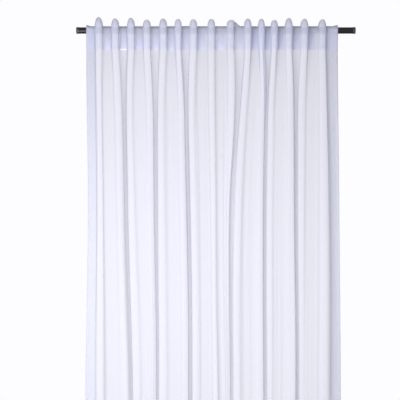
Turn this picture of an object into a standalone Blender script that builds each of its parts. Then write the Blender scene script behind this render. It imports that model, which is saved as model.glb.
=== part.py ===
"""A sheer voile curtain gathered on its dark rod, in metres, +Z up.

The origin is the middle of the rod's axis. +X runs along the rod to the right of someone
who faces the curtain, -Y points at that person, and the cloth hangs down -Z.

The panel is one cut length of voile. Fifteen stiffened fingers stand up from its heading,
between sixteen loops of tape that hold it on the rod. The loops are behind the cloth: each
one leaves the heading's top edge behind the rod and is sewn down again at the heading's
seam. Below the seam the fingers run together in pairs, so every second valley opens and the
one between closes to a crease.
"""

import math
from collections import namedtuple

import bmesh
import bpy
import numpy as np

# Rod: a thin metal tube with a plug in each end.
ROD_LENGTH = 0.837
ROD_DIAMETER = 0.019
ROD_WALL = 0.0010
ROD_SIDES = 32
CAP_HEAD = 0.008
CAP_DIAMETER = 0.0200
CAP_SPIGOT = 0.022
CAP_BEVEL = 0.0012
FIT_GAP = 0.0003

# Cloth as it is cut, and the thickness that its solid has.
FLAT_WIDTH = 1.45
HANGING_DROP = 2.40
CLOTH = 0.0016
END_MARGIN = 0.014

# Tape loops.
TAPE_WIDTH = 0.022
TAPE = 0.0010
TAPE_UPPER_ANGLE = math.radians(62.0)
TAPE_SEWN = 0.0065

# Heading: the seam's drop below the rod's axis, and how the band passes the rod.
SEAM_DROP = 0.0585
SEAM_FRONT = 0.0030
BAND_SLACK = 0.0008
VALLEY_OVER_ROD = 0.0330
END_FREEDOM = 0.12
FINGER_WIDTH = 0.026
FINGER_LEAN = 1.0 / 0.060
FOOT_SHARE = 0.16
CROWN_SHARE = 0.62

# Depths below the rod's axis at which the table of loops gives the valleys' places.
HALF_DOWN = 0.5085
METRE_DOWN = 1.1085
FOOT_EVENING = 0.35

# One row for each loop, left to right: where its valley is at the rod, half a metre down and
# a metre down, and how open the valley still is at those two depths. 1 is a broad valley,
# and a smaller number is a crease between two fingers that have run together.
Loop = namedtuple("Loop", "x_rod x_half x_metre open_half open_metre")
LOOPS = (
    Loop(-0.3745, -0.3715, -0.3775, 0.80, 0.80),
    Loop(-0.3250, -0.3175, -0.3115, 1.00, 1.00),
    Loop(-0.2770, -0.2695, -0.2560, 0.75, 0.75),
    Loop(-0.2305, -0.2185, -0.2005, 1.00, 1.00),
    Loop(-0.1825, -0.1810, -0.1765, 0.65, 0.55),
    Loop(-0.1330, -0.1285, -0.1210, 1.00, 1.00),
    Loop(-0.0925, -0.0835, -0.0745, 0.50, 0.45),
    Loop(-0.0430, -0.0330, -0.0280, 1.00, 1.00),
    Loop(0.0155, 0.0170, 0.0230, 0.95, 0.85),
    Loop(0.0725, 0.0470, 0.0470, 0.70, 0.55),
    Loop(0.1175, 0.0995, 0.0935, 1.00, 1.00),
    Loop(0.1535, 0.1475, 0.1475, 0.42, 0.42),
    Loop(0.1940, 0.1865, 0.1865, 1.00, 1.00),
    Loop(0.2405, 0.2405, 0.2435, 0.58, 0.50),
    Loop(0.2870, 0.2825, 0.2795, 1.00, 1.00),
    Loop(0.3485, 0.3575, 0.3620, 0.80, 0.80),
)

# One row for each finger, left to right: how high its tip stands above the rod's axis, and
# how far its crown leans to one side of the middle between its loops.
Finger = namedtuple("Finger", "tip lean")
FINGERS = (
    Finger(0.0360, 0.000),
    Finger(0.0315, -0.003),
    Finger(0.0333, 0.000),
    Finger(0.0273, -0.002),
    Finger(0.0309, 0.000),
    Finger(0.0294, 0.001),
    Finger(0.0285, -0.004),
    Finger(0.0303, 0.000),
    Finger(0.0267, 0.007),
    Finger(0.0306, 0.001),
    Finger(0.0303, 0.001),
    Finger(0.0264, 0.000),
    Finger(0.0327, 0.003),
    Finger(0.0303, 0.001),
    Finger(0.0297, 0.002),
)

# The panel's side edges at the same three depths as the loops.
Edge = namedtuple("Edge", "x_rod x_half x_metre")
LEFT_EDGE = Edge(-0.3880, -0.3820, -0.3895)
RIGHT_EDGE = Edge(0.3650, 0.3680, 0.3725)

# Rows of the panel's mesh, as shares of the band above the rod and as depths below it.
ROWS_OVER_ROD = (1.0, 0.8, 0.6, 0.4, 0.2)
ROW_DEPTHS = (
    0.0, 0.030, 0.0585, 0.085, 0.135, 0.215, 0.340, 0.5085, 0.75, 1.1085, 1.55, 2.0, 2.40,
)

# How far behind the rod's axis the broad valleys hang, at four depths below the seam.
VALLEY_DEPTHS = (0.0585, 0.120, 0.400, 1.1085)
VALLEY_BACK = (-0.0030, 0.0000, 0.0060, 0.0100)

# Half widths of a broad valley and of a crease, well below the heading.
BROAD_HALF = 0.012
CREASE_HALF = 0.0020

# Steps of the working section: fine ones for its lengths, and columns of the mesh in a fold.
FINE_STEPS = 60
FOLD_STEPS = 6
HELD_OPEN = 0.78
STEEPEST = 2.05

PITCH = (FLAT_WIDTH - 2.0 * END_MARGIN) / (len(LOOPS) - 1)
ROD_RADIUS = ROD_DIAMETER / 2.0
TAPE_RADIUS = ROD_RADIUS + FIT_GAP + TAPE / 2.0
BAND_RADIUS = TAPE_RADIUS + TAPE / 2.0 + FIT_GAP + CLOTH / 2.0 + BAND_SLACK


def clear_scene():
    """Remove every object that the scene starts with."""
    for thing in list(bpy.data.objects):
        bpy.data.objects.remove(thing, do_unlink=True)


def make_material(name, colour, roughness, metallic, alpha=1.0):
    """Make a Principled material of one colour."""
    material = bpy.data.materials.new(name)
    material.use_nodes = True
    shader = material.node_tree.nodes["Principled BSDF"]
    shader.inputs["Base Color"].default_value = (*colour, 1.0)
    shader.inputs["Roughness"].default_value = roughness
    shader.inputs["Metallic"].default_value = metallic
    shader.inputs["Alpha"].default_value = alpha
    material.diffuse_color = (*colour, 1.0)
    return material


def add_object(name, bm, material):
    """Turn a bmesh into a smooth-shaded object of the scene."""
    mesh = bpy.data.meshes.new(name)
    bm.to_mesh(mesh)
    bm.free()
    mesh.materials.append(material)
    mesh.shade_smooth()
    mesh.set_sharp_from_angle(angle=math.radians(40.0))
    thing = bpy.data.objects.new(name, mesh)
    bpy.context.scene.collection.objects.link(thing)
    return thing


def thicken(thing, thickness):
    """Give a sheet its thickness, half on each side of its middle surface."""
    solidify = thing.modifiers.new("thickness", "SOLIDIFY")
    solidify.thickness = thickness
    solidify.offset = 0.0
    solidify.use_even_offset = False


def smooth_step(value):
    """Rise from 0 to 1 with level ends."""
    share = np.clip(value, 0.0, 1.0)
    return share * share * (3.0 - 2.0 * share)


def at_depth(row, depth):
    """Place of a loop's valley, or of a side edge, at a depth below the rod."""
    return float(np.interp(depth, (SEAM_DROP, HALF_DOWN, METRE_DOWN), (row.x_rod, row.x_half, row.x_metre)))


def valley_places(depth):
    """Place of every valley at one depth. Below a metre they drift towards an even spacing."""
    places = np.array([at_depth(loop, depth) for loop in LOOPS])
    even = np.linspace(places[0], places[-1], len(places))
    share = FOOT_EVENING * smooth_step((depth - METRE_DOWN) / (HANGING_DROP - METRE_DOWN))
    return places + share * (even - places)


def openness(depth):
    """How open each valley is at one depth: all are fully open in the heading."""
    depths = (SEAM_DROP, HALF_DOWN, METRE_DOWN)
    return np.array([np.interp(depth, depths, (1.0, loop.open_half, loop.open_metre)) for loop in LOOPS])


def valley_front(depth):
    """Y of the broad valleys at one depth below the rod's axis."""
    if depth <= SEAM_DROP:
        return float(np.interp(depth, (0.0, SEAM_DROP), (-BAND_RADIUS, -SEAM_FRONT)))
    return float(np.interp(depth, VALLEY_DEPTHS, VALLEY_BACK))


def flat_halves(spacing, is_open, depth):
    """Half width of each valley's flat bottom on the side of one interval."""
    heading = max(TAPE_WIDTH / 2.0 + 0.0005, (spacing - FINGER_WIDTH) / 2.0)
    body = CREASE_HALF + (BROAD_HALF - CREASE_HALF) * smooth_step((is_open - 0.80) / 0.15)
    share = smooth_step((depth - SEAM_DROP) / (HALF_DOWN - SEAM_DROP))
    return heading + share * (body - heading)


def wall_angles(along, start, crown, end, foot, left, right):
    """Turn of the cloth from the rod's line across one fold, for walls of unit steepness."""
    rising = np.clip((along - start) / (crown - start), 0.0, 1.0)
    falling = np.clip((end - along) / (end - crown), 0.0, 1.0)
    ascent = smooth_step(rising / foot) * smooth_step((1.0 - rising) / CROWN_SHARE)
    descent = smooth_step(falling / foot) * smooth_step((1.0 - falling) / CROWN_SHARE)
    return right * descent - left * ascent


def steepness_for(angles, length, spacing):
    """Wall steepness at which a fold of a given cloth length spans a given spacing."""
    low, high = 0.0, STEEPEST
    for _ in range(40):
        middle = (low + high) / 2.0
        if length * float(np.mean(np.cos(middle * angles))) > spacing:
            low = middle
        else:
            high = middle
    return low


def cloth_lengths(places, depth):
    """Cloth between neighbouring valleys: one pitch each in the heading, and partly shared
    out by the spacing below it. The whole width stays the same."""
    spacings = np.diff(places)
    even = np.full(len(spacings), PITCH)
    shared = spacings * PITCH * len(spacings) / spacings.sum()
    share = 0.75 * smooth_step((depth - SEAM_DROP) / (HALF_DOWN - SEAM_DROP))
    return even + share * (shared - even)


def section(depth):
    """Columns (x, y) of the panel's level section at one depth, with each column's freedom.

    Freedom is 0 in a valley and 1 on a finger's crown.
    """
    places = valley_places(depth)
    opened = openness(depth)
    lengths = cloth_lengths(places, depth)
    foot = FOOT_SHARE + 0.18 * smooth_step((depth - SEAM_DROP) / (HALF_DOWN - SEAM_DROP))
    xs, ys, free, folded, valleys = [], [], [], [], [0]
    x_here, y_here = places[0], 0.0
    for index, length in enumerate(lengths):
        spacing = places[index + 1] - places[index]
        near = flat_halves(spacing, opened[index], depth)
        far = flat_halves(spacing, opened[index + 1], depth)
        balance = 0.5 + 0.16 * (opened[index] - opened[index + 1])
        lean = FINGERS[index].lean * (1.0 - smooth_step(depth / HALF_DOWN))
        crown = near + (length - near - far) * balance + 0.5 * lean
        along = np.linspace(0.0, length, FINE_STEPS + 1)
        angles = wall_angles(along, near, crown, length - far, foot, opened[index], opened[index + 1])
        steep = steepness_for(angles, length, spacing)
        turn = steep * angles
        step = length / FINE_STEPS
        middle_turn = (turn[1:] + turn[:-1]) / 2.0
        run = np.concatenate([[0.0], np.cumsum(np.cos(middle_turn)) * step])
        run *= spacing / run[-1]
        rise = np.concatenate([[0.0], np.cumsum(np.sin(middle_turn)) * step])
        stops = [0.0, near, near + (crown - near) / 3.0, near + (crown - near) * 2.0 / 3.0, crown]
        back = length - far - crown
        stops += [crown + back / 3.0, crown + back * 2.0 / 3.0, length - far]
        reach = max(1e-6, -float(rise.min()))
        for stop in stops:
            xs.append(x_here + float(np.interp(stop, along, run)))
            lift = float(np.interp(stop, along, rise))
            ys.append(y_here + lift)
            free.append(min(1.0, max(0.0, -lift / reach)))
        folded.extend(index * FOLD_STEPS + np.clip(np.arange(len(stops)) - 1, 0, FOLD_STEPS))
        x_here += float(run[-1])
        y_here += float(rise[-1])
        valleys.append(len(xs))
    xs.append(x_here)
    ys.append(y_here)
    free.append(0.0)
    folded.append(len(lengths) * FOLD_STEPS)
    xs, ys, folded = np.array(xs), np.array(ys), np.array(folded)
    held = [valleys[i] for i in range(len(LOOPS)) if opened[i] > HELD_OPEN]
    ys += valley_front(depth) - np.interp(folded, folded[held], ys[held])
    left, right = at_depth(LEFT_EDGE, depth), at_depth(RIGHT_EDGE, depth)
    xs = np.concatenate([[left], xs, [right]])
    ys = np.concatenate([[ys[0]], ys, [ys[-1]]])
    free = np.concatenate([[END_FREEDOM], free, [END_FREEDOM]])
    return xs, ys, free


def panel_points():
    """Middle surface of the panel: rows from its top edge down, each a list of points."""
    xs, ys, free = section(0.0)
    steps = len(free) - 3
    finger = np.clip((np.arange(len(free)) - 1) * len(FINGERS) // steps, 0, len(FINGERS) - 1)
    tips = np.array([FINGERS[i].tip for i in finger])
    crown_length = np.arcsin(np.clip(tips * FINGER_LEAN, 0.0, 0.99)) / FINGER_LEAN
    bend = (1.0 - free) ** 2.2 / BAND_RADIUS + FINGER_LEAN * smooth_step(free)
    over = VALLEY_OVER_ROD + (crown_length - VALLEY_OVER_ROD) * smooth_step(free)
    rows = []
    for share in ROWS_OVER_ROD:
        length = share * over
        back = (1.0 - np.cos(bend * length)) / bend
        up = np.sin(bend * length) / bend
        rows.append(np.stack([xs, ys + back, up], axis=1))
    for depth in ROW_DEPTHS:
        xs, ys, _ = section(depth)
        rows.append(np.stack([xs, ys, np.full(len(xs), -depth)], axis=1))
    return np.array(rows)


def bend_grid(points):
    """A flat grid of faces whose points are moved to the given rows of places."""
    row_count, column_count = points.shape[:2]
    bm = bmesh.new()
    bmesh.ops.create_grid(bm, x_segments=column_count - 1, y_segments=row_count - 1, size=1.0)
    for vertex in bm.verts:
        column = round((vertex.co.x + 1.0) / 2.0 * (column_count - 1))
        row = round((1.0 - vertex.co.y) / 2.0 * (row_count - 1))
        vertex.co = points[row, column]
    return bm


def build_panel(material):
    """The voile panel, its hems being part of the same cloth."""
    panel = add_object("panel", bend_grid(panel_points()), material)
    thicken(panel, CLOTH)


def tape_route():
    """Places (y, z) down the middle of a loop's tape, from its upper end to the seam."""
    sewn_y = -SEAM_FRONT + CLOTH / 2.0 + 1.4 * FIT_GAP + TAPE / 2.0
    sewn_z = -SEAM_DROP + TAPE_SEWN
    distance = math.hypot(sewn_y, sewn_z)
    leaves_rod = math.atan2(sewn_z, sewn_y) + math.acos(TAPE_RADIUS / distance)
    angles = np.linspace(TAPE_UPPER_ANGLE, leaves_rod, 6)
    route = [(TAPE_RADIUS * math.cos(a), TAPE_RADIUS * math.sin(a)) for a in angles]
    last_y, last_z = route[-1]
    route.append(((last_y + sewn_y) / 2.0, (last_z + sewn_z) / 2.0))
    route.append((sewn_y, sewn_z))
    route.append((sewn_y, -SEAM_DROP))
    return route


def build_loop(name, x_middle, material):
    """One tape loop, from the heading's top edge round the back of the rod to the seam."""
    half = TAPE_WIDTH / 2.0
    rows = [[(x_middle - half, y, z), (x_middle + half, y, z)] for y, z in tape_route()]
    bm = bend_grid(np.array(rows))
    loop = add_object(name, bm, material)
    thicken(loop, TAPE)


def turned(profile, sides):
    """A closed bmesh turned about the X axis from (x, radius) points, first and last on it
    or meeting each other."""
    bm = bmesh.new()
    ring = [bm.verts.new((x, 0.0, radius)) for x, radius in profile]
    edges = [bm.edges.new(pair) for pair in zip(ring, ring[1:])]
    bmesh.ops.spin(
        bm, geom=ring + edges, cent=(0, 0, 0), axis=(1, 0, 0), angle=2.0 * math.pi, steps=sides,
        use_merge=True, use_duplicate=False,
    )
    bmesh.ops.remove_doubles(bm, verts=bm.verts, dist=1e-6)
    bmesh.ops.recalc_face_normals(bm, faces=bm.faces)
    return bm


def build_rod(material):
    """The rod's tube, between the heads of its two caps."""
    half = ROD_LENGTH / 2.0 - CAP_HEAD - FIT_GAP
    bore = ROD_RADIUS - ROD_WALL
    outline = [(-half, bore), (-half, ROD_RADIUS), (half, ROD_RADIUS), (half, bore), (-half, bore)]
    add_object("rod", turned(outline, ROD_SIDES), material)


def build_cap(name, side, material):
    """A cap: a head as wide as the rod, and a plug inside the tube. side is -1 or 1."""
    end = ROD_LENGTH / 2.0
    head = end - CAP_HEAD
    plug = ROD_RADIUS - ROD_WALL - FIT_GAP
    rim = CAP_DIAMETER / 2.0
    profile = [(head - CAP_SPIGOT, 0.0), (head - CAP_SPIGOT, plug), (head, plug), (head, rim)]
    for turn in (0.0, 0.5, 1.0):
        angle = turn * math.pi / 2.0
        across = CAP_BEVEL * (1.0 - math.sin(angle))
        out = CAP_BEVEL * (1.0 - math.cos(angle))
        profile.append((end - across, rim - out))
    profile.append((end, 0.0))
    bm = turned([(side * x, radius) for x, radius in profile], ROD_SIDES)
    add_object(name, bm, material)


def main():
    """Build the rod, its caps, the loops and the panel."""
    clear_scene()
    metal = make_material("rod_metal", (0.030, 0.028, 0.032), 0.32, 0.85)
    cap_metal = make_material("cap_plastic", (0.045, 0.043, 0.047), 0.45, 0.0)
    voile = make_material("voile", (0.86, 0.87, 0.93), 0.85, 0.0)
    tape = make_material("loop_tape", (0.93, 0.93, 0.97), 0.80, 0.0)
    build_rod(metal)
    build_cap("rod_cap_left", -1.0, cap_metal)
    build_cap("rod_cap_right", 1.0, cap_metal)
    for number, loop in enumerate(LOOPS, start=1):
        build_loop(f"loop_{number:02d}", loop.x_rod, tape)
    build_panel(voile)


main()
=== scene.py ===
"""Looks of the sheer voile curtain on its dark rod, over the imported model.

Everything is in metres in the part's own frame: X along the rod, -Y towards someone who
faces the curtain, Z up, and the origin in the middle of the rod's axis.
"""

import logging
import math
from dataclasses import dataclass, field
from enum import Enum
from typing import Sequence

import bmesh
import bpy
import numpy as np
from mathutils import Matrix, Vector


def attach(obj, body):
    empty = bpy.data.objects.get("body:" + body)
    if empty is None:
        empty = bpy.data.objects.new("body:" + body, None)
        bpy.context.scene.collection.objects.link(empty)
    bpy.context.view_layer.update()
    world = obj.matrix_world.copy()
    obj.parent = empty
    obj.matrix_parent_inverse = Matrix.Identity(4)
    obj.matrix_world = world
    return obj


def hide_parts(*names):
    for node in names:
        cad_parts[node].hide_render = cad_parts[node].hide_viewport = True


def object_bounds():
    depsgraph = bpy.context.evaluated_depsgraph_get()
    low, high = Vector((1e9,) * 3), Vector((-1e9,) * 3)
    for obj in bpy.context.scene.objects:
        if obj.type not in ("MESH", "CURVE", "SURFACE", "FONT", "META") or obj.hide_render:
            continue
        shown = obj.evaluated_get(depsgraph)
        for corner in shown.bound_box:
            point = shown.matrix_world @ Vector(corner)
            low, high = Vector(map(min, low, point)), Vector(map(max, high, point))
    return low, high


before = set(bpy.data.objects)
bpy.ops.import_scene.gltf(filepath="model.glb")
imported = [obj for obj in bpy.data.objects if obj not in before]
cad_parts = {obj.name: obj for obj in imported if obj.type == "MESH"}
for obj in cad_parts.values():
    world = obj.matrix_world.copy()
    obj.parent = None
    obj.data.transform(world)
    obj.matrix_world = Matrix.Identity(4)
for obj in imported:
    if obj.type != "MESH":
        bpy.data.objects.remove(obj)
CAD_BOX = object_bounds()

log = logging.getLogger("curtain")

BODY = "root"
CLOTH_UV = "cloth"


def smooth_step(value: float | np.ndarray) -> float | np.ndarray:
    """Rise from 0 to 1 with level ends.

    Args:
        value: Where on the rise, 0 at its foot and 1 at its top.

    Returns:
        The height of the rise there.
    """
    share = np.clip(value, 0.0, 1.0)
    return share * share * (3.0 - 2.0 * share)


def glide(place: float, places: Sequence[float], values: Sequence[float]) -> float:
    """Read a short table along a curve that passes through its values without a kink.

    Args:
        place: Where to read the table.
        places: The table's places, rising.
        values: The table's values.

    Returns:
        The value at that place, held level beyond both ends.
    """
    xs, ys = np.asarray(places, float), np.asarray(values, float)
    here = float(np.clip(place, xs[0], xs[-1]))
    slopes = np.gradient(ys, xs)
    slopes[0] = slopes[-1] = 0.0
    index = int(np.clip(np.searchsorted(xs, here) - 1, 0, len(xs) - 2))
    width = xs[index + 1] - xs[index]
    t = (here - xs[index]) / width
    start = (1.0 + 2.0 * t) * (1.0 - t) ** 2 * ys[index] + t * (1.0 - t) ** 2 * width * slopes[index]
    end = t * t * (3.0 - 2.0 * t) * ys[index + 1] + t * t * (t - 1.0) * width * slopes[index + 1]
    return float(start + end)


@dataclass(frozen=True)
class Loop:
    """One loop's valley: its place at the rod, half a metre down and a metre down, and how
    open it still is at those two depths. 1 is a broad valley, less is a crease."""

    x_rod: float
    x_half: float
    x_metre: float
    open_half: float
    open_metre: float


@dataclass(frozen=True)
class Finger:
    """One finger: how high its tip stands above the rod's axis, and how far it leans."""

    tip: float
    lean: float


@dataclass(frozen=True)
class Edge:
    """A side edge's place at the rod, half a metre down and a metre down."""

    x_rod: float
    x_half: float
    x_metre: float


LOOPS = (
    Loop(-0.3745, -0.3715, -0.3775, 0.85, 0.85),
    Loop(-0.3250, -0.3175, -0.3115, 1.00, 1.00),
    Loop(-0.2770, -0.2695, -0.2560, 0.50, 0.45),
    Loop(-0.2305, -0.2185, -0.2005, 1.00, 1.00),
    Loop(-0.1825, -0.1810, -0.1765, 0.65, 0.55),
    Loop(-0.1330, -0.1285, -0.1210, 1.00, 1.00),
    Loop(-0.0925, -0.0835, -0.0745, 0.50, 0.45),
    Loop(-0.0430, -0.0330, -0.0280, 1.00, 1.00),
    Loop(0.0155, 0.0170, 0.0230, 0.95, 0.85),
    Loop(0.0725, 0.0470, 0.0470, 0.70, 0.55),
    Loop(0.1175, 0.0995, 0.0935, 1.00, 1.00),
    Loop(0.1535, 0.1475, 0.1475, 0.42, 0.42),
    Loop(0.1940, 0.1865, 0.1865, 1.00, 1.00),
    Loop(0.2405, 0.2405, 0.2435, 0.58, 0.50),
    Loop(0.2870, 0.2825, 0.2795, 1.00, 1.00),
    Loop(0.3485, 0.3575, 0.3620, 0.85, 0.85),
)

FINGERS = (
    Finger(0.0360, 0.000),
    Finger(0.0315, -0.003),
    Finger(0.0333, 0.000),
    Finger(0.0273, -0.002),
    Finger(0.0309, 0.000),
    Finger(0.0294, 0.001),
    Finger(0.0285, -0.004),
    Finger(0.0303, 0.000),
    Finger(0.0267, 0.007),
    Finger(0.0306, 0.001),
    Finger(0.0303, 0.001),
    Finger(0.0264, 0.000),
    Finger(0.0327, 0.003),
    Finger(0.0303, 0.001),
    Finger(0.0297, 0.002),
)

LEFT_EDGE = Edge(-0.3880, -0.3820, -0.3895)
RIGHT_EDGE = Edge(0.3650, 0.3680, 0.3725)


@dataclass(frozen=True)
class Section:
    """A level section of the gathered cloth, from its left edge to its right one.

    Attributes:
        xs: Place of each column along the rod.
        ys: Place of each column front to back.
        free: 0 where a loop holds the cloth, 1 on a finger's crown.
    """

    xs: np.ndarray
    ys: np.ndarray
    free: np.ndarray


@dataclass
class Gathering:
    """How the cloth is gathered: its level sections from the rod down to the foot.

    Each fold's outline is the turn of the cloth along its own length. The walls are made as
    steep as it takes for the cloth between two loops to span the space between them.
    The walls of the creases stand upright.
    """

    cloth_width: float = 1.45
    drop: float = 2.40
    end_margin: float = 0.014
    tape_width: float = 0.022
    band_radius: float = 0.0127
    seam_drop: float = 0.0585
    seam_front: float = 0.0030
    half_down: float = 0.5085
    metre_down: float = 1.1085
    valley_depths: tuple[float, ...] = (0.0585, 0.120, 0.400, 1.1085)
    valley_backs: tuple[float, ...] = (-0.0030, -0.0080, -0.0150, -0.0160)
    over_rod: float = 0.0330
    finger_width: float = 0.026
    finger_curve: float = 0.060
    end_freedom: float = 0.12
    foot_evening: float = 0.35
    broad_half: float = 0.009
    crease_half: float = 0.0020
    steepest: float = 2.6
    crown_turn: float = 0.020
    crease_wall: float = 1.58
    open_from: float = 0.90
    open_range: float = 0.30
    body_fullness: float = 1.50
    body_shallowness: float = 0.18
    settled_by: float = 0.34
    heading_foot: float = 0.0056
    open_foot: float = 0.019
    crease_foot: float = 0.005
    held_crease: float = 0.4
    fine_steps: int = 72
    flat_columns: int = 3
    wall_columns: int = 9
    margin_columns: int = 3

    @property
    def pitch(self) -> float:
        """Cloth from one loop to the next."""
        return (self.cloth_width - 2.0 * self.end_margin) / (len(LOOPS) - 1)

    @property
    def fold_columns(self) -> int:
        """Columns of the mesh from one loop to the next."""
        return 2 * (self.flat_columns + self.wall_columns)

    def table_depths(self) -> tuple[float, float, float]:
        """Depths at which the loops' and edges' places are given."""
        return self.seam_drop, self.half_down, self.metre_down

    def place(self, row: Loop | Edge, depth: float) -> float:
        """Place of a valley or of an edge at a depth below the rod.

        Args:
            row: The loop or edge.
            depth: Depth below the rod's axis.

        Returns:
            Its place along the rod.
        """
        return glide(depth, self.table_depths(), (row.x_rod, row.x_half, row.x_metre))

    def valley_places(self, depth: float) -> np.ndarray:
        """Place of every valley at one depth.

        Args:
            depth: Depth below the rod's axis.

        Returns:
            The places along the rod, drifting towards an even spacing below a metre.
        """
        places = np.array([self.place(loop, depth) for loop in LOOPS])
        numbers = np.arange(len(places))
        sway = 0.0022 * smooth_step((depth - 0.25) / 0.9)
        places += sway * np.sin(depth * 5.3 + numbers * 2.4) * np.sin(numbers * 1.7 + 0.6)
        even = np.linspace(places[0], places[-1], len(places))
        below = (depth - self.metre_down) / (self.drop - self.metre_down)
        return places + self.foot_evening * smooth_step(below) * (even - places)

    def settled(self, depth: float) -> float:
        """How far the cloth has settled out of the heading's shape at a depth, from 0 to 1."""
        share = np.clip((depth - self.seam_drop) / (self.settled_by - self.seam_drop), 0.0, 1.0)
        return float(1.0 - (1.0 - share) ** 2)

    def creases(self, depth: float) -> np.ndarray:
        """How closed each valley is in the settled cloth at one depth.

        Args:
            depth: Depth below the rod's axis.

        Returns:
            0 for a valley that stays open, 1 for a deep crease.
        """
        depths = (self.half_down, self.metre_down)
        opened = np.array([glide(depth, depths, (loop.open_half, loop.open_metre)) for loop in LOOPS])
        return smooth_step((self.open_from - opened) / self.open_range)

    def valley_back(self, depth: float) -> float:
        """Place front to back of the broad valleys at one depth.

        Args:
            depth: Depth below the rod's axis.

        Returns:
            The place, negative in front of the rod's axis.
        """
        if depth <= self.seam_drop:
            ends = (-self.band_radius, -self.seam_front)
            return float(np.interp(depth, (0.0, self.seam_drop), ends))
        return float(np.interp(depth, self.valley_depths, self.valley_backs))

    def flat_half(self, spacing: float, crease: float, depth: float) -> float:
        """Half width of a valley's flat bottom, on the side of one fold.

        Args:
            spacing: Space between the fold's two valleys.
            crease: How closed the valley is in the settled cloth.
            depth: Depth below the rod's axis.

        Returns:
            The half width of cloth.
        """
        heading = max(self.tape_width / 2.0 + 0.0005, (spacing - self.finger_width) / 2.0)
        body = self.broad_half + (self.crease_half - self.broad_half) * crease
        return float(heading + self.settled(depth) * (body - heading))

    def wall_shapes(
        self, along: np.ndarray, start: float, crown: float, end: float, feet: np.ndarray
    ) -> tuple[np.ndarray, np.ndarray]:
        """How far each wall of a fold has turned at places on the cloth, as a share of its most.

        Args:
            along: Places on the cloth.
            start: Where the fold leaves its left valley.
            crown: Where its crown is.
            end: Where it reaches its right valley.
            feet: Cloth in which the left and the right wall turn up from their valleys.

        Returns:
            The shares for the left and for the right wall.
        """
        rising = np.clip(along - start, 0.0, crown - start)
        falling = np.clip(end - along, 0.0, end - crown)
        left = smooth_step(rising / feet[0]) * smooth_step((crown - start - rising) / self.crown_turn)
        right = smooth_step(falling / feet[1]) * smooth_step((end - crown - falling) / self.crown_turn)
        return left, right

    def turn_for(
        self, shapes: tuple[np.ndarray, np.ndarray], closed: np.ndarray, length: float, spacing: float
    ) -> np.ndarray:
        """Turn of the cloth across a fold that spans the space between its valleys.

        The walls of a crease stand upright, and the open ones are as steep as they need be.

        Args:
            shapes: The walls' shares of their most turn.
            closed: How closed the left and the right valley are.
            length: Cloth in the fold.
            spacing: Space between the valleys.

        Returns:
            The turn at each place, in radians.
        """
        low, high = 0.0, self.steepest
        for _ in range(32):
            middle = (low + high) / 2.0
            walls = middle + closed * (self.crease_wall - middle)
            turn = walls[1] * shapes[1] - walls[0] * shapes[0]
            if length * float(np.mean(np.cos(turn))) > spacing:
                low = middle
            else:
                high = middle
        return turn

    def cloth_sides(self, places: np.ndarray, creases: np.ndarray, depth: float) -> np.ndarray:
        """Cloth on the left and on the right of each crown.

        In the heading every fold has one pitch. Below it the open sides of the folds keep a
        little more cloth than the space they span, and the creases take all the rest.

        Args:
            places: The valleys' places.
            creases: How closed each valley is in the settled cloth.
            depth: Depth below the rod's axis.

        Returns:
            One row for each fold. The whole is the same at every depth.
        """
        spacings = np.diff(places)
        gentle = self.body_fullness * spacings / 2.0
        closing = np.stack([creases[:-1], creases[1:]], axis=1)
        spare = self.pitch * len(spacings) - 2.0 * gentle.sum()
        body = gentle[:, None] + closing * spare / closing.sum()
        heading = np.full((len(spacings), 2), self.pitch / 2.0)
        heading += np.array([[finger.lean, -finger.lean] for finger in FINGERS]) / 2.0
        return heading + self.settled(depth) * (body - heading)

    def stops(self, near: float, crown: float, far: float, length: float) -> np.ndarray:
        """Places on the cloth of one fold's columns, from its left valley up to its right one."""
        return np.concatenate([
            np.linspace(0.0, near, self.flat_columns, endpoint=False),
            np.linspace(near, crown, self.wall_columns, endpoint=False),
            np.linspace(crown, length - far, self.wall_columns, endpoint=False),
            np.linspace(length - far, length, self.flat_columns, endpoint=False),
        ])

    def section(self, depth: float) -> Section:
        """The level section at one depth.

        Args:
            depth: Depth below the rod's axis.

        Returns:
            The section's columns, edges included.
        """
        places, creases, settled = self.valley_places(depth), self.creases(depth), self.settled(depth)
        sides = self.cloth_sides(places, creases, depth)
        body_feet = self.open_foot + (self.crease_foot - self.open_foot) * creases
        feet = self.heading_foot + settled * (body_feet - self.heading_foot)
        xs, ys, free, folded = [], [], [], []
        x_here, y_here = places[0], 0.0
        on_walls = np.clip(np.arange(self.fold_columns) - self.flat_columns, 0, 2 * self.wall_columns)
        for index, (crown, beyond) in enumerate(sides):
            length = crown + beyond
            spacing = places[index + 1] - places[index]
            near = self.flat_half(spacing, creases[index], depth)
            far = self.flat_half(spacing, creases[index + 1], depth)
            along = np.linspace(0.0, length, self.fine_steps + 1)
            pair = slice(index, index + 2)
            shapes = self.wall_shapes(along, near, crown, length - far, feet[pair])
            turn = self.turn_for(shapes, settled * creases[pair], length, spacing)
            middle = (turn[1:] + turn[:-1]) / 2.0
            step = length / self.fine_steps
            run = np.concatenate([[0.0], np.cumsum(np.cos(middle)) * step])
            run *= spacing / run[-1]
            rise = np.concatenate([[0.0], np.cumsum(np.sin(middle)) * step])
            rise *= 1.0 - self.body_shallowness * settled
            reach = max(1e-6, -float(rise.min()))
            stops = self.stops(near, crown, far, length)
            xs.append(x_here + np.interp(stops, along, run))
            ys.append(y_here + np.interp(stops, along, rise))
            free.append(np.clip(-np.interp(stops, along, rise) / reach, 0.0, 1.0))
            folded.append(2 * self.wall_columns * index + on_walls)
            x_here, y_here = x_here + float(run[-1]), y_here + float(rise[-1])
        return self.with_edges(depth, creases, [*xs, [x_here]], [*ys, [y_here]], [*free, [0.0]], folded)

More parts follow.
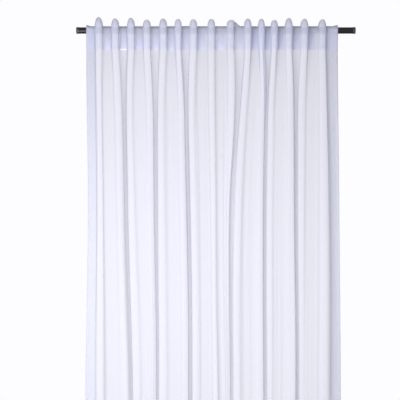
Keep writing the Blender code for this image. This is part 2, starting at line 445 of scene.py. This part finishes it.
    def with_edges(
        self, depth: float, creases: np.ndarray, xs: list, ys: list, free: list, folded: list
    ) -> Section:
        """Take out the drift between the held valleys, and add the side edges.

        Args:
            depth: Depth below the rod's axis.
            creases: How closed each valley is in the settled cloth.
            xs: Places along the rod, fold by fold.
            ys: Places front to back, fold by fold.
            free: Freedom from the rod, fold by fold.
            folded: Count of wall columns so far, which stands still across a flat.

        Returns:
            The finished section.
        """
        x, y, freedom = np.concatenate(xs), np.concatenate(ys), np.concatenate(free)
        count = np.concatenate([*folded, [2 * self.wall_columns * (len(LOOPS) - 1)]])
        held = [i * self.fold_columns for i in range(len(LOOPS)) if creases[i] < self.held_crease]
        y = y + self.valley_back(depth) - np.interp(count, count[held], y[held])
        steps = np.linspace(0.0, 1.0, self.margin_columns, endpoint=False)
        left, right = self.place(LEFT_EDGE, depth), self.place(RIGHT_EDGE, depth)
        edge_free = self.end_freedom * np.ones(self.margin_columns)
        return Section(
            np.concatenate([left + (x[0] - left) * steps, x, right + (x[-1] - right) * steps[::-1]]),
            np.concatenate([np.full(self.margin_columns, y[0]), y, np.full(self.margin_columns, y[-1])]),
            np.concatenate([edge_free * (1.0 - steps), freedom, edge_free * (1.0 - steps[::-1])]),
        )

    def cloth_columns(self) -> np.ndarray:
        """Place of every column on the flat cloth, from its left edge."""
        flat = self.tape_width / 2.0
        fold = self.stops(flat, self.pitch / 2.0, flat, self.pitch)
        folds = [self.end_margin + index * self.pitch + fold for index in range(len(LOOPS) - 1)]
        steps = np.linspace(0.0, 1.0, self.margin_columns, endpoint=False)
        right_valley = self.cloth_width - self.end_margin
        margin = self.end_margin * steps
        return np.concatenate([margin, *folds, [right_valley], self.cloth_width - margin[::-1]])


class Turning(Enum):
    """A turned edge of the panel, by the side that is folded to the back."""

    HEADING = "heading"
    SIDE = "side hem"
    FOOT = "foot hem"


@dataclass
class VoilePanel:
    """The voile panel: one length of cloth with its turned heading, side hems and foot hem."""

    gathering: Gathering
    name: str = "voile_panel"
    rows_over_rod: int = 12
    rows_in_heading: int = 12
    rows_in_body: int = 84
    side_hem: float = 0.028
    foot_hem: float = 0.100
    ply_gap: float = 0.00035
    finger_side: float = 0.0170
    edge_side: float = 0.0170
    ripple: float = 0.0010
    turned_width: dict = field(default_factory=dict)

    def depths(self) -> np.ndarray:
        """Depths of the rows from the rod's axis down, closer together near the heading."""
        seam, drop = self.gathering.seam_drop, self.gathering.drop
        heading = np.linspace(0.0, seam, self.rows_in_heading)
        share = np.linspace(0.0, 1.0, self.rows_in_body + 1)[1:]
        return np.concatenate([heading, seam + (drop - seam) * share ** 1.35])

    def top_edge(self, top: Section) -> tuple[np.ndarray, np.ndarray]:
        """How high the heading stands above the rod's axis in each column.

        Args:
            top: The section at the rod's axis.

        Returns:
            The heights, with a round dome on each finger, and the cloth above the axis.
        """
        gathering = self.gathering
        margin, fold = gathering.margin_columns, gathering.fold_columns
        valley = gathering.band_radius
        heights = np.full(len(top.xs), valley)
        over = np.full(len(top.xs), gathering.over_rod)
        for index, finger in enumerate(FINGERS):
            first = margin + index * fold
            crown = first + int(np.argmax(top.free[first:first + fold + 1]))
            length = gathering.finger_curve * math.asin(finger.tip / gathering.finger_curve)
            for columns in (np.arange(crown, first - 1, -1), np.arange(crown, first + fold + 1)):
                reach = np.abs(top.xs[columns] - top.xs[crown])
                bulge = int(np.argmax(reach[top.free[columns] > 0.25]))
                share = np.clip(reach / reach[bulge], 0.0, 1.0)
                dome = self.finger_side + (finger.tip - self.finger_side) * np.sqrt(1.0 - share ** 2.2)
                foot = smooth_step(top.free[columns] / top.free[columns][bulge])
                below = valley + (self.finger_side - valley) * foot
                heights[columns] = np.where(np.arange(len(columns)) <= bulge, dome, below)
            span = slice(first, first + fold + 1)
            risen = np.clip((heights[span] - valley) / (finger.tip - valley), 0.0, 1.0)
            over[span] += risen * (length - gathering.over_rod)
        steps = smooth_step(np.linspace(1.0, 0.0, margin, endpoint=False))
        heights[:margin] += steps * (self.edge_side - valley)
        heights[-margin:] += steps[::-1] * (self.edge_side - valley)
        return heights, over

    def over_rod_rows(self) -> list[np.ndarray]:
        """Rows of the heading above the rod's axis, from the top edge down.

        Returns:
            One array of points for each row. In a valley the band bends over the rod, and on
            a finger it stands up with a slight lean.
        """
        gathering = self.gathering
        top = gathering.section(0.0)
        heights, over = self.top_edge(top)
        turns = np.linspace(1e-3, math.pi / 2.0, 80)
        upright = np.interp(-heights / over, -np.sin(turns) / turns, turns) / over
        bend = np.where(heights < 2.0 * over / math.pi, 1.0 / heights, upright)
        rows = []
        for share in np.linspace(1.0, 0.0, self.rows_over_rod, endpoint=False):
            angle = bend * over * share
            back = (1.0 - np.cos(angle)) / bend
            rows.append(np.stack([top.xs, top.ys + back, np.sin(angle) / bend], axis=1))
        return rows

    def face_rows(self) -> np.ndarray:
        """Points of the panel's front ply.

        Returns:
            Rows from the top edge to the foot, by columns, by x, y and z.
        """
        rows = self.over_rod_rows()
        for depth in self.depths():
            level = self.gathering.section(float(depth))
            rows.append(np.stack([level.xs, level.ys, np.full(len(level.xs), -depth)], axis=1))
        return np.array(rows)

    def fronts(self, points: np.ndarray) -> np.ndarray:
        """Unit vectors out of the cloth's front, one at each point."""
        down = np.gradient(points, axis=0)
        across = np.gradient(points, axis=1)
        out = np.cross(down, across)
        return out / np.linalg.norm(out, axis=2, keepdims=True)

    def rippled(self, points: np.ndarray) -> np.ndarray:
        """Give the body of the cloth its soft secondary ripples.

        Args:
            points: The front ply.

        Returns:
            The same points, moved along the cloth's front by up to the ripple's height.
        """
        across = self.gathering.cloth_columns()[None, :]
        depth = np.maximum(0.0, -points[:, :, 2])
        below = smooth_step((depth - self.gathering.seam_drop) / 0.25)
        wave = np.sin(across * 251.0 + 1.9 * np.sin(depth * 2.1 + across * 9.0))
        wave += 0.6 * np.sin(across * 407.0 + 1.3 * np.sin(depth * 3.3 + across * 5.0) + 1.0)
        patch = 0.55 + 0.45 * np.sin(across * 31.0 + 2.2 * np.sin(depth * 1.7))
        lift = self.ripple * below * wave * patch
        return points + self.fronts(points) * lift[:, :, None]

    def with_turnings(self, points: np.ndarray) -> tuple[np.ndarray, np.ndarray, np.ndarray]:
        """Fold the side hems, the heading and the foot hem to the back.

        Args:
            points: The front ply.

        Returns:
            The points with the turned plies, and the cloth's places across and down.
        """
        fronts = self.fronts(points)
        across = self.gathering.cloth_columns()
        depths = self.depths()
        over = np.linspace(self.gathering.over_rod, 0.0, self.rows_over_rod, endpoint=False)
        down = np.concatenate([-over, depths])
        hem_columns = int(np.searchsorted(across, self.side_hem)) + 1
        right_columns = len(across) - int(np.searchsorted(across, across[-1] - self.side_hem)) + 1
        heading_rows = self.rows_over_rod + self.rows_in_heading
        foot_rows = len(down) - int(np.searchsorted(down, down[-1] - self.foot_hem))
        last_row, last_column = len(down) - 1, len(across) - 1
        rows = [*range(heading_rows - 1, -1, -1), *range(last_row + 1)]
        rows += list(range(last_row, last_row - foot_rows - 1, -1))
        columns = [*range(hem_columns, -1, -1), *range(last_column + 1)]
        columns += list(range(last_column, last_column - right_columns - 1, -1))
        row_turned = np.zeros(len(rows))
        row_turned[:heading_rows] = 1.0
        row_turned[-foot_rows - 1:] = 1.0
        column_turned = np.zeros(len(columns))
        column_turned[:hem_columns + 1] = 1.0
        column_turned[-right_columns - 1:] = 1.0
        in_hem = np.array([c < hem_columns or c > last_column - right_columns for c in columns])
        plies = column_turned[None, :] + row_turned[:, None] * (1.0 + in_hem[None, :] * (1.0 - column_turned))
        grid = points[np.ix_(rows, columns)] - fronts[np.ix_(rows, columns)] * (self.ply_gap * plies)[:, :, None]
        cloth_across = across[columns].copy()
        cloth_across[:hem_columns + 1] *= -1.0
        cloth_across[-right_columns - 1:] = 2.0 * across[-1] - cloth_across[-right_columns - 1:]
        cloth_down = down[rows].copy()
        top = down[0]
        cloth_down[:heading_rows] = 2.0 * top - cloth_down[:heading_rows]
        cloth_down[-foot_rows - 1:] = 2.0 * down[-1] - cloth_down[-foot_rows - 1:]
        self.turned_width = {
            Turning.SIDE: float(across[hem_columns]),
            Turning.HEADING: float(down[heading_rows - 1] - top),
            Turning.FOOT: float(down[-1] - down[-foot_rows - 1]),
        }
        return grid, cloth_across, cloth_down

    def build(self) -> bpy.types.Object:
        """Make the panel's mesh.

        Returns:
            The panel, as one open sheet with its turnings.
        """
        points, across, down = self.with_turnings(self.rippled(self.face_rows()))
        return add_piece(self.name, draped_grid(points, across, down))


def draped_grid(points: np.ndarray, across: np.ndarray, down: np.ndarray) -> bmesh.types.BMesh:
    """A grid of faces laid on rows of points, with the cloth's own places as its UV map.

    Args:
        points: Rows by columns by x, y and z.
        across: Place of each column on the flat cloth.
        down: Place of each row on the flat cloth.

    Returns:
        The bmesh.
    """
    row_count, column_count = points.shape[:2]
    bm = bmesh.new()
    uv_layer = bm.loops.layers.uv.new(CLOTH_UV)
    bmesh.ops.create_grid(bm, x_segments=column_count - 1, y_segments=row_count - 1, size=1.0)
    places = {}
    for vertex in bm.verts:
        column = round((vertex.co.x + 1.0) / 2.0 * (column_count - 1))
        row = round((1.0 - vertex.co.y) / 2.0 * (row_count - 1))
        vertex.co = points[row, column]
        places[vertex] = (across[column], -down[row])
    for face in bm.faces:
        face.smooth = True
        for corner in face.loops:
            corner[uv_layer].uv = places[corner.vert]
    return bm


def add_piece(name: str, bm: bmesh.types.BMesh) -> bpy.types.Object:
    """Turn a bmesh into a piece of the scene.

    Args:
        name: The piece's name.
        bm: Its shape, which is freed.

    Returns:
        The new object.
    """
    mesh = bpy.data.meshes.new(name)
    bm.to_mesh(mesh)
    bm.free()
    piece = bpy.data.objects.new(name, mesh)
    bpy.context.scene.collection.objects.link(piece)
    return piece


@dataclass
class TapeLoops:
    """The sixteen woven tapes that hold the heading on the rod from behind."""

    gathering: Gathering
    width: float = 0.022
    thickness: float = 0.0009
    radius: float = 0.0103
    upper_angle: float = math.radians(62.0)
    sewn_length: float = 0.0065
    stands_off: float = 0.0017
    arc_steps: int = 26
    across_steps: int = 10

    def route(self) -> np.ndarray:
        """Places (y, z) down the middle of a tape, from its upper end to the seam.

        Returns:
            Rows of y and z.
        """
        sewn_y = -self.gathering.seam_front + self.stands_off
        sewn_z = -self.gathering.seam_drop + self.sewn_length
        distance = math.hypot(sewn_y, sewn_z)
        leaves_rod = math.atan2(sewn_z, sewn_y) + math.acos(self.radius / distance)
        angles = np.linspace(self.upper_angle, leaves_rod, self.arc_steps)
        arc = np.stack([self.radius * np.cos(angles), self.radius * np.sin(angles)], axis=1)
        sewn = np.array([sewn_y, sewn_z])
        straight = [arc[-1] + (sewn - arc[-1]) * share for share in np.linspace(0.0, 1.0, 9)[1:]]
        end = [(sewn_y, sewn_z + (-self.gathering.seam_drop - sewn_z) * share) for share in (0.33, 0.67, 1.0)]
        return np.concatenate([arc, straight, end])

    def build(self) -> list[bpy.types.Object]:
        """Make one piece for each tape.

        Returns:
            The tapes, left to right.
        """
        route = self.route()
        lengths = np.concatenate([[0.0], np.cumsum(np.linalg.norm(np.diff(route, axis=0), axis=1))])
        across = np.linspace(-self.width / 2.0, self.width / 2.0, self.across_steps + 1)
        tapes = []
        for number, loop in enumerate(LOOPS, start=1):
            rows = np.empty((len(route), len(across), 3))
            rows[:, :, 0] = loop.x_rod + across[None, :]
            rows[:, :, 1] = route[:, None, 0]
            rows[:, :, 2] = route[:, None, 1]
            tape = add_piece(f"tape_{number:02d}", draped_grid(rows, across, lengths))
            solidify = tape.modifiers.new("thickness", "SOLIDIFY")
            solidify.thickness = self.thickness
            solidify.offset = 0.0
            tapes.append(tape)
        return tapes


@dataclass
class NodeMaker:
    """Adds and joins nodes of one tree, left to right."""

    tree: bpy.types.NodeTree
    column: int = 0

    def add(self, kind: str, **settings) -> bpy.types.Node:
        """Add a node.

        Args:
            kind: The node's type name.
            **settings: Its own settings.

        Returns:
            The node.
        """
        node = self.tree.nodes.new(kind)
        node.location = (self.column * 180.0, 0.0)
        self.column += 1
        for key, value in settings.items():
            setattr(node, key, value)
        return node

    def join(self, source: bpy.types.NodeSocket, target: bpy.types.NodeSocket) -> None:
        """Link an output to an input."""
        self.tree.links.new(source, target)

    def math(self, operation: str, *inputs: bpy.types.NodeSocket | float) -> bpy.types.NodeSocket:
        """Add a Math node.

        Args:
            operation: Its operation.
            *inputs: Sockets or plain numbers, in order.

        Returns:
            Its output.
        """
        node = self.add("ShaderNodeMath", operation=operation)
        for socket, value in zip(node.inputs, inputs):
            if isinstance(value, bpy.types.NodeSocket):
                self.join(value, socket)
            else:
                socket.default_value = value
        return node.outputs[0]

    def blend(
        self, share: bpy.types.NodeSocket, first: Sequence[float], second: Sequence[float]
    ) -> bpy.types.NodeSocket:
        """Add a colour mix.

        Args:
            share: How much of the second colour.
            first: Colour at 0.
            second: Colour at 1.

        Returns:
            The mixed colour.
        """
        node = self.add("ShaderNodeMix", data_type="RGBA")
        self.join(share, node.inputs["Factor"])
        node.inputs["A"].default_value = (*first, 1.0)
        node.inputs["B"].default_value = (*second, 1.0)
        return node.outputs["Result"]


class Groups:
    """Node groups that more than one material uses, each built once."""

    @staticmethod
    def weave() -> bpy.types.NodeTree:
        """Plain weave on a map in metres: thread relief and the slubs of uneven yarn.

        Returns:
            The group, with inputs Vector, Across, Along and Slub, and outputs Height and Tone.
        """
        name = "plain_weave"
        if name in bpy.data.node_groups:
            return bpy.data.node_groups[name]
        tree = bpy.data.node_groups.new(name, "ShaderNodeTree")
        tree.interface.new_socket("Vector", in_out="INPUT", socket_type="NodeSocketVector")
        for label, value in (("Across", 2000.0), ("Along", 2000.0), ("Slub", 0.5)):
            socket = tree.interface.new_socket(label, in_out="INPUT", socket_type="NodeSocketFloat")
            socket.default_value = value
        tree.interface.new_socket("Height", in_out="OUTPUT", socket_type="NodeSocketFloat")
        tree.interface.new_socket("Tone", in_out="OUTPUT", socket_type="NodeSocketFloat")
        maker = NodeMaker(tree)
        start = maker.add("NodeGroupInput")
        split = maker.add("ShaderNodeSeparateXYZ")
        maker.join(start.outputs["Vector"], split.inputs[0])
        warp = maker.math("MULTIPLY", split.outputs["X"], start.outputs["Across"])
        weft = maker.math("MULTIPLY", split.outputs["Y"], start.outputs["Along"])
        warp_wave = maker.math("SINE", maker.math("MULTIPLY", warp, math.pi))
        weft_wave = maker.math("SINE", maker.math("MULTIPLY", weft, math.pi))
        crossing = maker.math("MULTIPLY", warp_wave, weft_wave)
        yarns = []
        for scale_x, scale_y in ((0.30, 0.004), (0.004, 0.22)):
            stretched = maker.add("ShaderNodeCombineXYZ")
            maker.join(maker.math("MULTIPLY", warp, scale_x), stretched.inputs["X"])
            maker.join(maker.math("MULTIPLY", weft, scale_y), stretched.inputs["Y"])
            noise = maker.add("ShaderNodeTexNoise", noise_dimensions="2D")
            noise.inputs["Scale"].default_value = 1.0
            noise.inputs["Detail"].default_value = 2.0
            maker.join(stretched.outputs[0], noise.inputs["Vector"])
            yarns.append(maker.math("SUBTRACT", noise.outputs["Fac"], 0.5))
        uneven = maker.math("ADD", yarns[0], maker.math("MULTIPLY", yarns[1], 0.5))
        slub = maker.math("MULTIPLY", uneven, start.outputs["Slub"])
        end = maker.add("NodeGroupOutput")
        maker.join(maker.math("ADD", crossing, slub), end.inputs["Height"])
        maker.join(maker.math("ADD", slub, 0.5), end.inputs["Tone"])
        return tree

    @staticmethod
    def handling() -> bpy.types.NodeTree:
        """Faint marks of handling on a hard surface: dust above and fine rubbing.

        Returns:
            The group, with inputs Vector, Scale and Amount, and outputs Dust and Rub.
        """
        name = "handling"
        if name in bpy.data.node_groups:
            return bpy.data.node_groups[name]
        tree = bpy.data.node_groups.new(name, "ShaderNodeTree")
        tree.interface.new_socket("Vector", in_out="INPUT", socket_type="NodeSocketVector")
        for label, value in (("Scale", 300.0), ("Amount", 0.3)):
            socket = tree.interface.new_socket(label, in_out="INPUT", socket_type="NodeSocketFloat")
            socket.default_value = value
        tree.interface.new_socket("Dust", in_out="OUTPUT", socket_type="NodeSocketFloat")
        tree.interface.new_socket("Rub", in_out="OUTPUT", socket_type="NodeSocketFloat")
        maker = NodeMaker(tree)
        start = maker.add("NodeGroupInput")
        speck = maker.add("ShaderNodeTexNoise")
        speck.inputs["Detail"].default_value = 4.0
        maker.join(start.outputs["Vector"], speck.inputs["Vector"])
        maker.join(start.outputs["Scale"], speck.inputs["Scale"])
        facing = maker.add("ShaderNodeNewGeometry")
        split = maker.add("ShaderNodeSeparateXYZ")
        maker.join(facing.outputs["Normal"], split.inputs[0])
        above = maker.math("MAXIMUM", split.outputs["Z"], 0.0)
        dust = maker.math("MULTIPLY", maker.math("MULTIPLY", above, speck.outputs["Fac"]), start.outputs["Amount"])
        broad = maker.add("ShaderNodeTexNoise")
        broad.inputs["Detail"].default_value = 2.0
        maker.join(start.outputs["Vector"], broad.inputs["Vector"])
        maker.join(maker.math("MULTIPLY", start.outputs["Scale"], 0.12), broad.inputs["Scale"])
        end = maker.add("NodeGroupOutput")
        maker.join(dust, end.inputs["Dust"])
        maker.join(maker.math("MULTIPLY", broad.outputs["Fac"], start.outputs["Amount"]), end.inputs["Rub"])
        return tree


def fresh_material(name: str) -> tuple[bpy.types.Material, NodeMaker, bpy.types.Node, bpy.types.Node]:
    """Start a material.

    Args:
        name: The material's name.

    Returns:
        The material, a node maker on it, its Principled shader and its output.
    """
    material = bpy.data.materials.new(name)
    material.use_nodes = True
    tree = material.node_tree
    return material, NodeMaker(tree), tree.nodes["Principled BSDF"], tree.nodes["Material Output"]


@dataclass(frozen=True)
class VoileFinish:
    """Sheer plain-weave voile.

    Attributes:
        tint: Colour of its yarns.
        shade: Colour of its thinner yarns.
        cover: Share of the view that one ply stops.
        through: Share of the stopped light that goes on to the other side.
        threads: Threads to the metre.
    """

    tint: tuple[float, float, float] = (0.875, 0.888, 0.985)
    shade: tuple[float, float, float] = (0.80, 0.815, 0.935)
    cover: float = 0.65
    through: float = 0.50
    threads: float = 2400.0
    roughness: float = 0.75
    sheen: float = 0.15

    def material(self) -> bpy.types.Material:
        """Make the material.

        Returns:
            The material, which reads the cloth's UV map.
        """
        material, maker, shader, output = fresh_material("voile")
        cloth_map = maker.add("ShaderNodeUVMap", uv_map=CLOTH_UV)
        weave = maker.add("ShaderNodeGroup", node_tree=Groups.weave())
        weave.inputs["Across"].default_value = self.threads
        weave.inputs["Along"].default_value = self.threads
        weave.inputs["Slub"].default_value = 0.9
        maker.join(cloth_map.outputs["UV"], weave.inputs["Vector"])
        colour = maker.blend(weave.outputs["Tone"], self.shade, self.tint)
        bump = maker.add("ShaderNodeBump")
        bump.inputs["Strength"].default_value = 0.25
        bump.inputs["Distance"].default_value = 0.0001
        maker.join(weave.outputs["Height"], bump.inputs["Height"])
        maker.join(colour, shader.inputs["Base Color"])
        maker.join(bump.outputs["Normal"], shader.inputs["Normal"])
        shader.inputs["Roughness"].default_value = self.roughness
        shader.inputs["Sheen Weight"].default_value = self.sheen
        shader.inputs["Specular IOR Level"].default_value = 0.2
        lit_through = maker.add("ShaderNodeBsdfTranslucent")
        maker.join(colour, lit_through.inputs["Color"])
        yarn = maker.add("ShaderNodeMixShader")
        yarn.inputs["Fac"].default_value = self.through
        maker.join(shader.outputs["BSDF"], yarn.inputs[1])
        maker.join(lit_through.outputs["BSDF"], yarn.inputs[2])
        holes = maker.add("ShaderNodeBsdfTransparent")
        cloth = maker.add("ShaderNodeMixShader")
        cloth.inputs["Fac"].default_value = self.cover
        maker.join(holes.outputs["BSDF"], cloth.inputs[1])
        maker.join(yarn.outputs["Shader"], cloth.inputs[2])
        maker.join(cloth.outputs["Shader"], output.inputs["Surface"])
        return material


@dataclass(frozen=True)
class TapeFinish:
    """Opaque white woven tape."""

    tint: tuple[float, float, float] = (0.97, 0.97, 0.985)
    shade: tuple[float, float, float] = (0.93, 0.93, 0.96)
    threads_across: float = 1300.0
    threads_along: float = 900.0

    def material(self) -> bpy.types.Material:
        """Make the material.

        Returns:
            The material, which reads the tape's UV map.
        """
        material, maker, shader, _ = fresh_material("loop_tape")
        tape_map = maker.add("ShaderNodeUVMap", uv_map=CLOTH_UV)
        weave = maker.add("ShaderNodeGroup", node_tree=Groups.weave())
        weave.inputs["Across"].default_value = self.threads_across
        weave.inputs["Along"].default_value = self.threads_along
        weave.inputs["Slub"].default_value = 0.4
        maker.join(tape_map.outputs["UV"], weave.inputs["Vector"])
        bump = maker.add("ShaderNodeBump")
        bump.inputs["Strength"].default_value = 0.5
        bump.inputs["Distance"].default_value = 0.0002
        maker.join(weave.outputs["Height"], bump.inputs["Height"])
        maker.join(maker.blend(weave.outputs["Tone"], self.shade, self.tint), shader.inputs["Base Color"])
        maker.join(bump.outputs["Normal"], shader.inputs["Normal"])
        shader.inputs["Roughness"].default_value = 0.8
        shader.inputs["Sheen Weight"].default_value = 0.2
        return material


@dataclass(frozen=True)
class HardFinish:
    """A near-black finish of the rod or of its caps.

    Attributes:
        name: The material's name.
        base: Its colour.
        dusty: Its colour where dust lies.
        roughness: Lowest and highest roughness.
        metallic: How metallic it is.
        grain: Scale of its grain.
        relief: Depth of its grain.
    """

    name: str
    base: tuple[float, float, float]
    dusty: tuple[float, float, float]
    roughness: tuple[float, float]
    metallic: float
    grain: float
    relief: float

    def material(self) -> bpy.types.Material:
        """Make the material.

        Returns:
            The material, which reads Object coordinates.
        """
        material, maker, shader, _ = fresh_material(self.name)
        places = maker.add("ShaderNodeTexCoord")
        marks = maker.add("ShaderNodeGroup", node_tree=Groups.handling())
        marks.inputs["Scale"].default_value = self.grain * 0.2
        marks.inputs["Amount"].default_value = 0.5
        maker.join(places.outputs["Object"], marks.inputs["Vector"])
        maker.join(maker.blend(marks.outputs["Dust"], self.base, self.dusty), shader.inputs["Base Color"])
        low, high = self.roughness
        rough = maker.math("MULTIPLY_ADD", marks.outputs["Rub"], 2.0 * (high - low), low)
        maker.join(rough, shader.inputs["Roughness"])
        grain = maker.add("ShaderNodeTexNoise")
        grain.inputs["Scale"].default_value = self.grain
        grain.inputs["Detail"].default_value = 3.0
        maker.join(places.outputs["Object"], grain.inputs["Vector"])
        bump = maker.add("ShaderNodeBump")
        bump.inputs["Strength"].default_value = 0.3
        bump.inputs["Distance"].default_value = self.relief
        maker.join(grain.outputs["Fac"], bump.inputs["Height"])
        maker.join(bump.outputs["Normal"], shader.inputs["Normal"])
        shader.inputs["Metallic"].default_value = self.metallic
        return material


@dataclass
class Rod:
    """The dark rod and its caps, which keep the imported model's shapes."""

    tube_node: str = "rod"
    cap_nodes: tuple[str, ...] = ("rod_cap_left", "rod_cap_right")
    lacquer: HardFinish = HardFinish(
        "rod_lacquer", (0.020, 0.019, 0.021), (0.10, 0.10, 0.105), (0.26, 0.36), 0.6, 900.0, 0.00005
    )
    moulded: HardFinish = HardFinish(
        "cap_moulding", (0.045, 0.044, 0.047), (0.12, 0.12, 0.125), (0.40, 0.52), 0.0, 2600.0, 0.00008
    )

    def dress(self) -> None:
        """Give the tube and the caps their finishes."""
        put_finish(bpy.data.objects[self.tube_node], self.lacquer.material())
        moulding = self.moulded.material()
        for name in self.cap_nodes:
            put_finish(bpy.data.objects[name], moulding)


def put_finish(piece: bpy.types.Object, material: bpy.types.Material) -> None:
    """Give a piece one material all over.

    Args:
        piece: The piece.
        material: Its material.
    """
    if not piece.material_slots:
        piece.data.materials.append(material)
    for slot in piece.material_slots:
        slot.material = material


@dataclass
class Studio:
    """Camera, lights and floor."""

    camera_place: tuple[float, float, float] = (-0.0477, -3.2, -0.5085)
    lens: float = 96.0
    floor_drop: float = 0.02
    floor_radius: float = 3.6
    front_light: float = 0.60
    back_light: float = 0.15

    def add_camera(self) -> None:
        """Put the camera level, at the height of the photograph's middle."""
        data = bpy.data.cameras.new("camera")
        data.lens = self.lens
        data.sensor_width = 36.0
        camera = bpy.data.objects.new("camera", data)
        camera.location = self.camera_place
        camera.rotation_euler = (math.pi / 2.0, 0.0, 0.0)
        bpy.context.scene.collection.objects.link(camera)
        bpy.context.scene.camera = camera

    def add_lamp(
        self, name: str, place: Sequence[float], target: Sequence[float], power: float, size: float
    ) -> None:
        """Add a soft square lamp.

        Args:
            name: The lamp's name.
            place: Where it stands.
            target: What it points at.
            power: Its power in watts.
            size: Its side.
        """
        data = bpy.data.lights.new(name, "AREA")
        data.energy = power
        data.size = size
        lamp = bpy.data.objects.new(name, data)
        lamp.location = place
        lamp.rotation_euler = (Vector(target) - Vector(place)).to_track_quat("-Z", "Y").to_euler()
        lamp.visible_camera = False
        bpy.context.scene.collection.objects.link(lamp)

    def add_world(self) -> None:
        """A white backdrop for the view, which lights the cloth only softly."""
        world = bpy.data.worlds.new("studio")
        world.use_nodes = True
        bpy.context.scene.world = world
        maker = NodeMaker(world.node_tree)
        seen = world.node_tree.nodes["Background"]
        seen.inputs["Color"].default_value = (0.985, 0.975, 1.0, 1.0)
        seen.inputs["Strength"].default_value = 1.0
        felt = maker.add("ShaderNodeBackground")
        felt.inputs["Color"].default_value = (0.95, 0.96, 1.0, 1.0)
        around = maker.add("ShaderNodeTexCoord")
        split = maker.add("ShaderNodeSeparateXYZ")
        maker.join(around.outputs["Generated"], split.inputs[0])
        front = maker.add("ShaderNodeMapRange", interpolation_type="SMOOTHSTEP")
        front.inputs["From Min"].default_value = 0.35
        front.inputs["From Max"].default_value = -0.55
        front.inputs["To Min"].default_value = self.back_light
        front.inputs["To Max"].default_value = self.front_light
        maker.join(split.outputs["Y"], front.inputs["Value"])
        maker.join(front.outputs["Result"], felt.inputs["Strength"])
        rays = maker.add("ShaderNodeLightPath")
        chosen = maker.add("ShaderNodeMixShader")
        maker.join(rays.outputs["Is Camera Ray"], chosen.inputs["Fac"])
        maker.join(felt.outputs[0], chosen.inputs[1])
        maker.join(seen.outputs[0], chosen.inputs[2])
        maker.join(chosen.outputs[0], world.node_tree.nodes["World Output"].inputs["Surface"])

    def add_floor(self) -> None:
        """A plain pale floor just under the hem."""
        bm = bmesh.new()
        bmesh.ops.create_circle(bm, cap_ends=True, segments=96, radius=self.floor_radius)
        bmesh.ops.translate(bm, vec=(0.0, 0.0, CAD_BOX[0].z - self.floor_drop), verts=bm.verts)
        floor = add_piece("floor", bm)
        material, _, shader, _ = fresh_material("floor")
        shader.inputs["Base Color"].default_value = (0.86, 0.86, 0.87, 1.0)
        shader.inputs["Roughness"].default_value = 0.9
        put_finish(floor, material)

    def build(self) -> None:
        """Set up the whole studio."""
        scene = bpy.context.scene
        scene.view_settings.view_transform = "Standard"
        scene.cycles.transparent_max_bounces = 48
        self.add_camera()
        self.add_world()
        self.add_floor()
        self.add_lamp("key", (-0.36, -1.15, -0.80), (-0.14, 0.0, -0.76), 21.0, 1.0)


def hang_panel(gathering: Gathering) -> bpy.types.Object:
    """Args:
        gathering: How the cloth is gathered.

    Returns:
        The panel.
    """
    maker = VoilePanel(gathering)
    panel = maker.build()
    put_finish(panel, VoileFinish().material())
    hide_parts("panel")
    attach(panel, BODY)
    return panel


def hang_tapes(gathering: Gathering) -> list[bpy.types.Object]:
    """Args:
        gathering: How the cloth is gathered.

    Returns:
        The tapes, left to right.
    """
    tapes = TapeLoops(gathering).build()
    material = TapeFinish().material()
    for number, tape in enumerate(tapes, start=1):
        put_finish(tape, material)
        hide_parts(f"loop_{number:02d}")
        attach(tape, BODY)
    return tapes


def main() -> None:
    """Build the studio, the rod's finish, the tapes and the panel, in that order."""
    logging.basicConfig(level=logging.INFO, format="%(message)s")
    Studio().build()
    Rod().dress()
    log.info("rod and caps dressed")
    gathering = Gathering()
    tapes = hang_tapes(gathering)
    log.info("%d tapes", len(tapes))
    panel = hang_panel(gathering)
    log.info("%s: %d faces", panel.name, len(panel.data.polygons))


if __name__ == "__main__":
    main()
